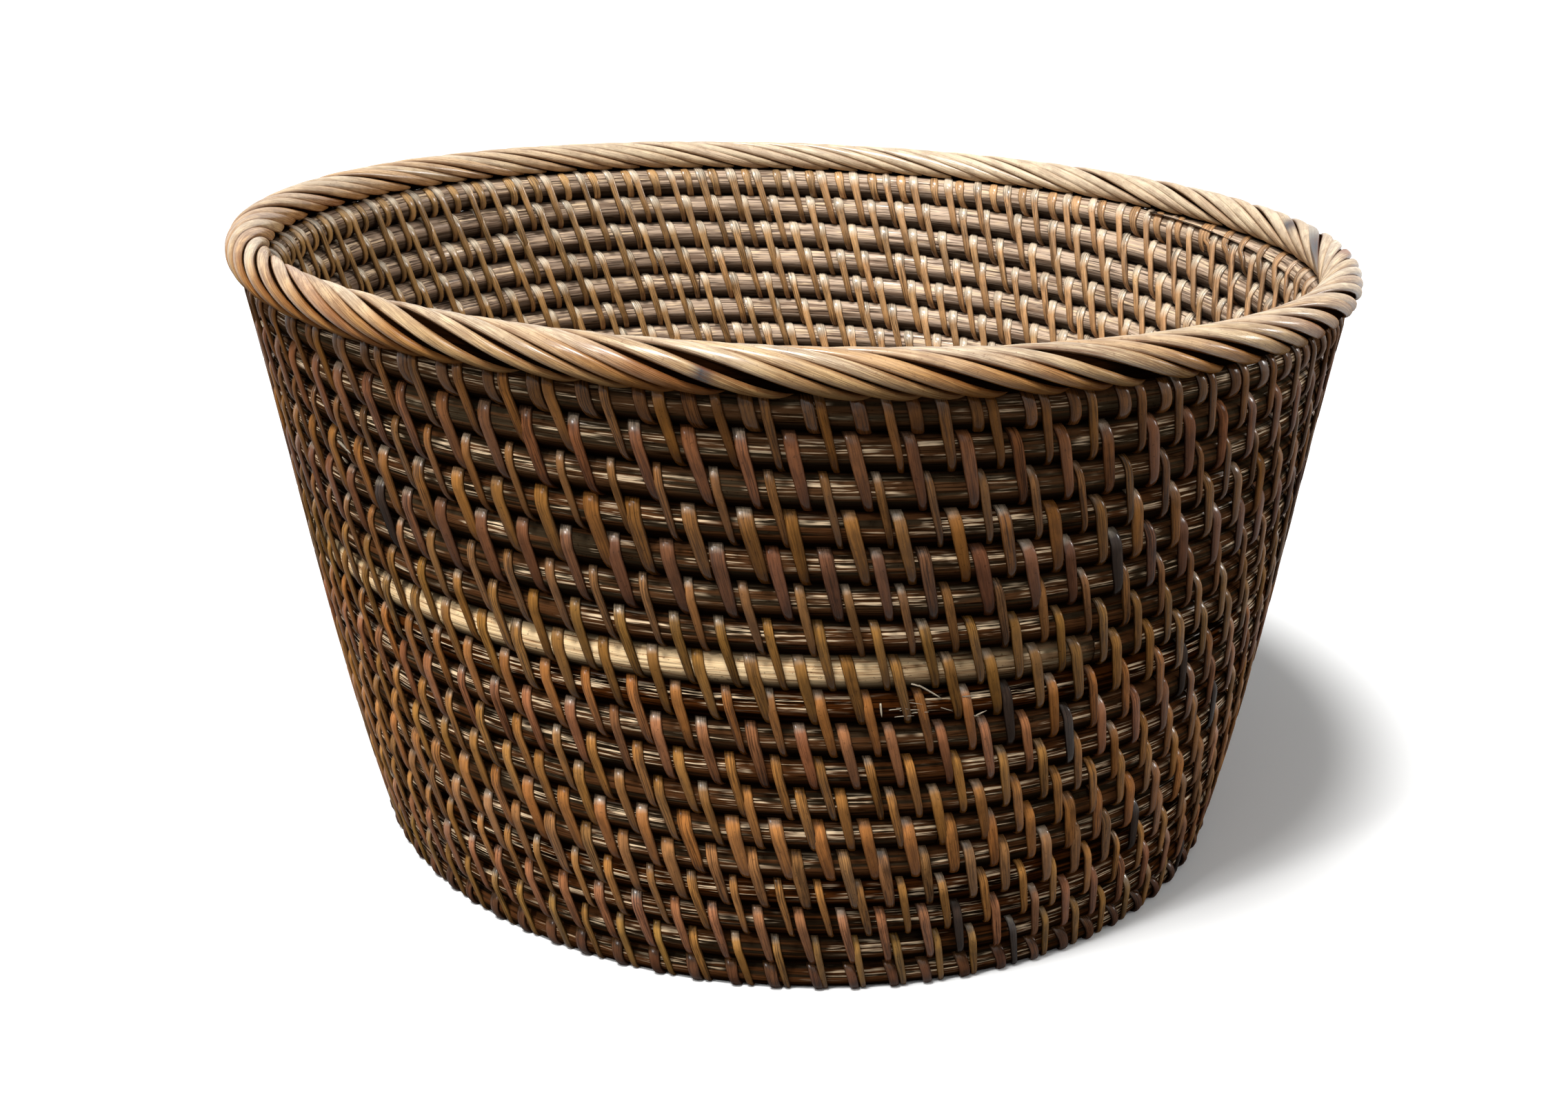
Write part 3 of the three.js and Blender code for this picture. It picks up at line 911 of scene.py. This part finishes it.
def split_cane(name):
    """Split cane in the tone of each strip, with dark streaks, stained patches and painted shade along its
    edges.
    """
    fibre_width, coat_roughness, coat_ior, dark = CANES[name]
    dark = getattr(settings().colours, dark)
    material, tree, shader, grain, fibre, stain = start_material(
        name, fibre_length=9.0, fibre_width=fibre_width, patch_length=7.0
    )
    streak = remap(tree, fibre["Fibre"], 0.75, 0.1)
    streak = calculate(tree, "MULTIPLY", streak, attribute(tree, "tone", "Alpha"))
    look = blend_colours(tree, streak, attribute(tree, "tone", "Color"), dark)
    look = cover(tree, look, stain["Patch"], (0, 1), dark, strength=0.3)
    look = cover(tree, look, stain["Fleck"], (0, 1), dark, strength=0.35)
    # Painted shade: the edges of each strip, low on its section, are darker.
    rise = new_node(tree, "ShaderNodeSeparateXYZ")
    tree.links.new(grain, rise.inputs["Vector"])
    look = cover(tree, look, rise.outputs["Z"], (0.92, 0.3), dark, strength=0.6)
    roughness = remap(tree, fibre["Fibre"], 0, 1, *CANE_ROUGHNESS)
    gloss = attribute(tree, "gloss")
    finish_material(tree, shader, look, roughness, gloss, coat_roughness, fibre["Fibre"], CANE_DEPTH)
    shader.inputs["Coat IOR"].default_value = coat_ior
    return material


def rod_material():
    return shared(bpy.data.materials, "stained_rod", stained_rod)


def cane_material(name):
    return shared(bpy.data.materials, name, split_cane)


# Pieces

# Paleness of the rods, apart from the light one: the least and the most.
ROD_TINT = (0.0, 0.06)


def build_rods(coil, kind, cuts, rng):
    """Rods of a kind, one from each cut through the coil to the next."""
    for i, (start, end) in enumerate(zip(cuts, cuts[1:])):
        node = f"{kind}_{i + 1:02d}"
        light = node == LIGHT_ROD
        tint = rng.uniform(*ROD_TINT)
        mesh = rod_mesh(coil, f"{node}_rattan", start, end, None if light else tint, rng)
        add_piece(mesh, rod_material(), [node])


class BuildBaseRods(bpy.types.Operator):
    """Coil the rods of the base."""

    bl_idname = "cachepot.base_rods"
    bl_label = "Base rods"

    def execute(self, context):
        coil = Coil(settings().coil)
        build_rods(coil, "base_rod", coil.cuts(0, coil.base_turns, BASE_RODS), uneven("base rods"))
        return {"FINISHED"}


class BuildWallRods(bpy.types.Operator):
    """Stack the rods of the wall."""

    bl_idname = "cachepot.wall_rods"
    bl_label = "Wall rods"

    def execute(self, context):
        coil = Coil(settings().coil)
        cuts = coil.cuts(coil.base_turns, coil.end_turn, WALL_RODS)
        build_rods(coil, "wall_rod", [*cuts[:-1], coil.taper_turn], uneven("wall rods"))
        return {"FINISHED"}


# The turn of the coil at which the lacing starts.
FIRST_STITCH = 1.3
# The ties of the rim: where on the rod's section they start and end, in degrees, their points, and slant.
TIE_ENDS = (25, 335)
TIE_STEPS = 19
TIE_SLANT = 0.5


class BuildLacing(bpy.types.Operator):
    """Lace each turn of the coil to the one before it."""

    bl_idname = "cachepot.lacing"
    bl_label = "Lacing"

    def execute(self, context):
        coil = Coil(settings().coil)
        sizes = settings().lacing
        rng = uneven("lacing")
        turn = FIRST_STITCH
        base = []
        while turn < coil.base_turns + WALL_STEP_START + STEP_SHARE / 2:
            spacing = sizes.base_spacing / (2 * math.pi * float(coil.place(np.array(turn))[0]))
            base.append((turn, spacing))
            turn += spacing
        outline = loop_outline()
        # In the base a stitch starts behind the inner turn, as nothing covers its outer end at the foot.
        inner_start = 1 - outline[0], outline[1] + math.pi
        names = ("base_lacing_inner", "base_lacing_outer")
        self.lace(coil, names, *np.array(base).T, inner_start, rng)
        laced_turn = coil.last_turn + WALL_STEP_START + STEP_SHARE * LACED_SHARE
        wall = np.arange(turn, laced_turn, 1 / sizes.stitches)
        names = ("wall_lacing_lower", "wall_lacing_middle", "wall_lacing_upper")
        self.lace(coil, names, wall, np.full(len(wall), 1 / sizes.stitches), outline, rng)
        self.tie_rim(coil, rng)
        return {"FINISHED"}

    def lace(self, coil, names, turns, spacing, outline, rng):
        """Stitches at turns of the coil, shared out evenly into pieces."""
        advance = loop_advance(coil, loop_outline(), settings().lacing)
        for name, part, gaps in zip(names, *(np.array_split(each, len(names)) for each in (turns, spacing))):
            mesh = lacing_mesh(coil, name, part, row_of(coil, part), gaps, outline, advance, rng)
            add_piece(mesh, cane_material("lacing_strip"))

    def tie_rim(self, coil, rng):
        """Stitches round the top turn alone, each from the outer end of a strand to under the rim inside."""
        sizes = settings().lacing
        angles = np.radians(np.linspace(*TIE_ENDS, TIE_STEPS))
        advance = np.linspace(0, TIE_SLANT, TIE_STEPS)
        ends = np.arange(sizes.strand_count) + sizes.strand_phase + sizes.strand_advance
        turns = coil.top_turn(ends * 2 * math.pi / sizes.strand_count)
        into_step = (turns - coil.last_turn - WALL_STEP_START) / STEP_SHARE
        turns = turns[(into_step < SCARF_SHARE) | (into_step > LACED_SHARE)]
        spacing = np.full(len(turns), 1 / sizes.strand_count)
        outline = np.ones(TIE_STEPS), angles
        mesh = lacing_mesh(coil, "rim_ties", turns, 0 * turns.astype(int), spacing, outline, advance, rng)
        add_piece(mesh, cane_material("lacing_strip"))


# Steps round the hoop, and the rows of the hoop's and the strands' skin on the map for baking.
HOOP_STEPS = 240
HOOP_ROWS = 6
STRAND_ROWS = 20
# Points along a strand, and where on the hoop's section it starts inside and ends outside, in degrees.
STRAND_STEPS = 52
STRAND_ENDS = (222, -92)
# How much flatter the strands lie on the inside of the rim, and steeper outside, in strands.
STRAND_BEND = 2.6
# Share of a strand that each end tapers over, and the shares of its width and thickness left at the end.
END_TAPER = 0.09
END_WIDTH = 0.55
END_THICKNESS = 0.6
# How high the strands lie over the hoop, and how far their ends dip.
STRAND_LIFT = 0.0001
END_DIP = 0.0005
# Along a strand, from its inner end at 0 to its outer end at 1: its width, how much it is rubbed pale and
# painted with a sheen on its top, its painted shade at the ends, where they turn under the rim, and its
# lacquer, which is worn off the ends.
STRAND_SPREAD = ((0, 0.86), (0.42, 1.02), (0.7, 0.92), (1, 0.8))
STRAND_RUBBED_SHEEN = ((0.1, 0), (0.3, 1), (0.5, 1), (0.7, 0))
STRAND_END_SHADE = ((0, 0.6), (0.14, 1), (0.6, 1), (0.84, 0.64), (1, 0.34))
STRAND_LACQUER = ((0, 0.2), (0.15, 1), (0.6, 1), (0.82, 0.05))
# Tones of the strands, and the share of the strands that have each.
STRAND_TONES = {"honey": 0.55, "straw": 0.3, "blush": 0.15}
# Fading of the strands everywhere, painted light and glare on them at the back and at the right, and the
# share of streaks that these take.
FADED = 0.25
GLARE_BACK = 0.5
GLARE_RIGHT = 0.2
FADED_STREAKS = 0.7
# Unevenness of the strands: the least and the most of each.
STRAND_SHIFT = (-0.16, 0.16)
STRAND_SLANT = (0.97, 1.03)
STRAND_WIDTH = (0.8, 1.02)
STRAND_THICKNESS = (0.9, 1.0)
STRAND_TONE = (0.85, 1.08)
STRAND_WEAR_SHEEN = (0.2, 0.9)
STRAND_STREAKS = (0.3, 0.65)
STRAND_GLOSS = (0.7, 1.0)


class BuildRim(bpy.types.Operator):
    """Close the top with a hoop and wrap it in slanting strands."""

    bl_idname = "cachepot.rim"
    bl_label = "Rim"

    def execute(self, context):
        coil = Coil(settings().coil)
        self.build_hoop(coil)
        self.build_strands(coil, uneven("rim"))
        return {"FINISHED"}

    def build_hoop(self, coil):
        angle = np.linspace(0, 2 * math.pi, HOOP_STEPS, endpoint=False)[:, None]
        around = np.linspace(0, 2 * math.pi, ROD_SIDES, endpoint=False)
        core = coil.hoop + coil.sizes.wrap_clearance
        out = core * np.cos(around)
        height = coil.rim_height + core * np.sin(around)
        rings = polar(coil.rim_radius + out, angle, height)
        mesh = tube_mesh("rim_hoop_rattan", rings[None], HOOP_ROWS, ring=True)
        grain = stacked(coil.rim_radius * angle, out, height) / MM
        none = np.zeros(rings.shape[:2])
        # The hoop is painted in full groove shade, as dark as the shade seen in the gaps between the
        # strands.
        paint(mesh, grain=grain, pale=none, inside=none, groove=none + 1, gloss=none)
        add_piece(mesh, rod_material(), ["rim_hoop"])

    def build_strands(self, coil, rng):
        sizes = settings().lacing
        count = sizes.strand_count
        share = np.linspace(0, 1, STRAND_STEPS)
        inner_end, outer_end = np.radians(STRAND_ENDS)
        tube = inner_end + (outer_end - inner_end) * share
        layout = uneven("strands")
        start = np.arange(count) + sizes.strand_phase + layout.uniform(*STRAND_SHIFT, count)
        slant = sizes.strand_advance * layout.uniform(*STRAND_SLANT, count)
        advance = (slant[:, None] + STRAND_BEND) * share - STRAND_BEND * share**2
        angle = (start[:, None] + advance) * 2 * math.pi / count
        taper = np.sin(np.clip(np.minimum(share, 1 - share) / END_TAPER, 0, 1) * math.pi / 2)
        rest = coil.hoop + STRAND_LIFT - END_DIP * (1 - taper)
        path = polar(coil.rim_radius + rest * np.cos(tube), angle, coil.rim_height + rest * np.sin(tube))
        normal = polar(np.cos(tube), angle, np.sin(tube))
        width = sizes.strand_width * curve(STRAND_SPREAD, share) * rng.uniform(*STRAND_WIDTH, (count, 1))
        width = width * (END_WIDTH + (1 - END_WIDTH) * taper)
        height = sizes.strand_thickness * rng.uniform(*STRAND_THICKNESS, (count, 1))
        height = height * (END_THICKNESS + (1 - END_THICKNESS) * taper)
        rings = strip_rings(path, normal, width, height, STRAND_SECTION)
        mesh = tube_mesh("rim_wrapping_strands", rings, STRAND_ROWS)
        paint(mesh, grain=strip_grain(path, STRAND_SECTION, width, rng))
        self.paint_strands(mesh, angle, share, rng)
        add_piece(mesh, cane_material("rim_strand"), ["rim_wrapping"])

    def paint_strands(self, mesh, angle, share, rng):
        """Colours of the strands, which are faded, rubbed and stained, with painted light and glare at the
        back and the right, a painted sheen on their tops and painted shade at their ends, and their gloss.
        """
        count = len(angle)
        tones = np.array([tone(name) for name in STRAND_TONES])
        picked = rng.choice(len(tones), count, p=list(STRAND_TONES.values()))
        look = tones[picked] * rng.uniform(*STRAND_TONE, (count, 1))
        middle = angle[:, STRAND_STEPS // 2, None]
        # A fade that all strands share, and painted light and glare at the back and at the right.
        faded_and_lit = np.clip(FADED + GLARE_BACK * np.sin(middle) + GLARE_RIGHT * np.cos(middle), 0, 1)
        look = look + faded_and_lit * (tone("faded_and_lit") - look)
        # The tops are rubbed pale and painted with a sheen.
        rubbed_and_glint = rng.uniform(*STRAND_WEAR_SHEEN, (count, 1)) * curve(STRAND_RUBBED_SHEEN, share)
        look = look[:, None] + rubbed_and_glint[..., None] * (tone("faded_and_lit") - look[:, None])
        # Painted shade at the strands' ends, where they turn under the rim.
        look = look * curve(STRAND_END_SHADE, share)[:, None] ** np.array(SHADE_POWER)
        for azimuth, at, reach, stain in RIM_STAINS:
            turned = (np.degrees(angle[:, round(at * (STRAND_STEPS - 1))]) - azimuth + 180) % 360 - 180
            strand = np.argmin(np.abs(turned))
            mask = np.exp(-(((share - at) / reach) ** 2))[:, None]
            look[strand] += mask * (tone(stain) - look[strand])
        sides = len(STRAND_SECTION)
        streaks = rng.uniform(*STRAND_STREAKS, count) * (1 - FADED_STREAKS * faded_and_lit[:, 0])
        paint_tone(mesh, look, streaks, sides)
        gloss = rng.uniform(*STRAND_GLOSS, (count, 1, 1)) * curve(STRAND_LACQUER, share)[:, None]
        paint(mesh, gloss=np.repeat(gloss, sides, axis=2))


# Points along a loose fibre, and the rows of its skin on the map for baking.
FIBRE_STEPS = 7
FIBRE_ROWS = 5
# Width of a fibre from its fixed end to its point, and its thickness as a share of the width.
FIBRE_POINT = ((0, 0.7), (0.2, 1), (0.7, 0.8), (1, 0.25))
FIBRE_FLATNESS = 0.35
# How far a fibre lies off the rod, in thicknesses of a strip: its fixed end, its point and how it curves.
FIBRE_LIFT = 0.1
FIBRE_RISE = 1.3
FIBRE_CURVE = 1.5
# Least and most tone of the fibres, their streaks and their gloss.
FIBRE_TONE = (0.4, 1.0)
FIBRE_STREAKS = 0.2
FIBRE_GLOSS = 0.1
# Fine hairs beside the frayed splice: their number, and the least and the most of their azimuth in degrees,
# height and lean in millimetres, length in degrees and width in millimetres.
HAIRS = 9
HAIR_SPREAD = ((-82, -73), (74.4, 79.2), (-0.7, 0.7), (0.8, 2), (0.2, 0.3))


class BuildLooseFibres(bpy.types.Operator):
    """Fray the wall with splinters and bristles."""

    bl_idname = "cachepot.loose_fibres"
    bl_label = "Loose fibres"

    def execute(self, context):
        coil = Coil(settings().coil)
        rng = uneven("fibres")
        path, normal, width = self.splinters(coil, rng)
        width = width[:, None] * curve(FIBRE_POINT, np.linspace(0, 1, FIBRE_STEPS))
        rings = strip_rings(path, normal, width, FIBRE_FLATNESS * width, FIBRE_SECTION)
        mesh = tube_mesh("loose_fibres", rings, FIBRE_ROWS)
        paint(mesh, grain=strip_grain(path, FIBRE_SECTION, width, rng))
        look = tone("splinter") * rng.uniform(*FIBRE_TONE, (len(path), 1, 1))
        streaks = np.full(len(path), FIBRE_STREAKS)
        paint_tone(mesh, np.broadcast_to(look, path.shape), streaks, len(FIBRE_SECTION))
        paint(mesh, gloss=np.full(rings.shape[:3], FIBRE_GLOSS))
        add_piece(mesh, cane_material("lacing_strip"))
        return {"FINISHED"}

    def splinters(self, coil, rng):
        """Paths, normals and widths of the splinters and of the hairs."""
        azimuth, height, lean, reach, width = (rng.uniform(*ends, HAIRS) for ends in HAIR_SPREAD)
        hairs = np.stack([azimuth, height, azimuth + reach, height + lean, width], axis=-1)
        ends = np.concatenate([np.array(SPLINTERS), hairs])
        share = np.linspace(0, 1, FIBRE_STEPS)
        start, end = ends[:, None, :2], ends[:, None, 2:4]
        place = start + (end - start) * share[:, None]
        azimuth = np.radians(place[..., 0])
        off = FIBRE_LIFT + FIBRE_RISE * share**FIBRE_CURVE
        lift = coil.rod + settings().lacing.strip_thickness * off
        path = coil.wall_points(azimuth, place[..., 1] * MM, lift)
        return path, polar(1, azimuth, 0), ends[:, 4] * MM


# Half the width of the floor, and its roughness.
FLOOR_REACH = 12.0
FLOOR_ROUGHNESS = 0.9
# Width of the camera's sensor in millimetres, and the nearest distance that it sees.
SENSOR_WIDTH = 36
NEAREST = 0.01


def seen_directly(tree):
    """1 for rays from the camera, and for those that a gloss or a glass sends on, otherwise 0."""
    rays = new_node(tree, "ShaderNodeLightPath").outputs
    seen = calculate(tree, "MAXIMUM", rays["Is Camera Ray"], rays["Is Glossy Ray"])
    return calculate(tree, "MAXIMUM", seen, rays["Is Transmission Ray"])


class BuildStage(bpy.types.Operator):
    """Set the floor, the light and the camera."""

    bl_idname = "cachepot.stage"
    bl_label = "Stage"

    def execute(self, context):
        stage = settings().stage
        self.build_floor(stage)
        for name, setting, towards, width in LAMPS:
            self.add_sun(name, getattr(stage, setting), towards, width)
        self.light_sky(stage)
        self.place_camera(stage)
        context.scene.view_settings.view_transform = "Standard"
        return {"FINISHED"}

    def build_floor(self, stage):
        mesh = bpy.data.meshes.new("floor")
        corners = [(x * FLOOR_REACH, y * FLOOR_REACH, 0) for x, y in ((-1, -1), (1, -1), (1, 1), (-1, 1))]
        mesh.from_pydata(corners, [], [(0, 1, 2, 3)])
        floor = add_object("floor", mesh)
        material = bpy.data.materials.new("floor_paper")
        material.use_nodes = True
        tree = material.node_tree
        shader = tree.nodes["Principled BSDF"]
        look = blend_colours(tree, seen_directly(tree), stage.floor_bounce, stage.floor_colour)
        tree.links.new(look, shader.inputs["Base Color"])
        shader.inputs["Roughness"].default_value = FLOOR_ROUGHNESS
        mesh.materials.append(material)

    def add_sun(self, name, strength, towards, width):
        lamp = bpy.data.lights.new(name, "SUN")
        lamp.energy = strength
        lamp.angle = math.radians(width)
        sun = add_object(name, lamp)
        sun.rotation_euler = Vector(towards).to_track_quat("Z", "Y").to_euler()

    def light_sky(self, stage):
        world = bpy.data.worlds.new("studio_sky")
        world.use_nodes = True
        tree = world.node_tree
        sky = tree.nodes["Background"]
        sky.inputs["Color"].default_value = (1, 1, 1, 1)
        strength = remap(tree, seen_directly(tree), 0, 1, stage.sky_strength, 1.0)
        tree.links.new(strength, sky.inputs["Strength"])
        bpy.context.scene.world = world

    def place_camera(self, stage):
        data = bpy.data.cameras.new("photo_camera")
        data.sensor_fit = "HORIZONTAL"
        data.sensor_width = SENSOR_WIDTH
        data.lens = stage.camera_lens
        data.clip_start = NEAREST
        camera = add_object("photo_camera", data)
        tilt = Matrix.Rotation(math.pi / 2 - stage.camera_pitch, 4, "X")
        roll = Matrix.Rotation(stage.camera_roll, 4, "Z")
        spot = Matrix.Translation((0, -stage.camera_distance, stage.camera_height))
        camera.matrix_world = spot @ tilt @ roll
        bpy.context.scene.camera = camera


class CachepotSettings(bpy.types.PropertyGroup):
    """All the values of the basket and its stage."""

    coil: group(CoilSizes, "Coil", "Sizes of the coil and the rim")
    lacing: group(LacingSizes, "Lacing", "Sizes of the strips")
    colours: group(RattanColours, "Colours", "Colours of the rattan")
    stage: group(StageSettings, "Stage", "Camera, light and floor")


OPERATORS = (BuildBaseRods, BuildWallRods, BuildLacing, BuildRim, BuildLooseFibres, BuildStage)


class CachepotPanel(bpy.types.Panel):
    """Lists the cachepot's steps and values."""

    bl_idname = "VIEW3D_PT_cachepot"
    bl_label = "Rattan cachepot"
    bl_space_type = "VIEW_3D"
    bl_region_type = "UI"
    bl_category = "Cachepot"

    def draw(self, context):
        for step in OPERATORS:
            self.layout.operator(step.bl_idname)
        for values in (settings().coil, settings().lacing, settings().colours, settings().stage):
            box = self.layout.box()
            for key in values.bl_rna.properties.keys():
                if key not in ("rna_type", "name"):
                    box.prop(values, key)


CLASSES = (CoilSizes, LacingSizes, RattanColours, StageSettings, CachepotSettings, *OPERATORS, CachepotPanel)


def register():
    for cls in CLASSES:
        bpy.utils.register_class(cls)
    bpy.types.Scene.cachepot = group(CachepotSettings, "Cachepot", "Values of the rattan cachepot")


def unregister():
    del bpy.types.Scene.cachepot
    for cls in reversed(CLASSES):
        bpy.utils.unregister_class(cls)


def main():
    register()
    bpy.ops.cachepot.base_rods()
    bpy.ops.cachepot.wall_rods()
    bpy.ops.cachepot.lacing()
    bpy.ops.cachepot.rim()
    bpy.ops.cachepot.loose_fibres()
    bpy.ops.cachepot.stage()


if __name__ == "__main__":
    main()
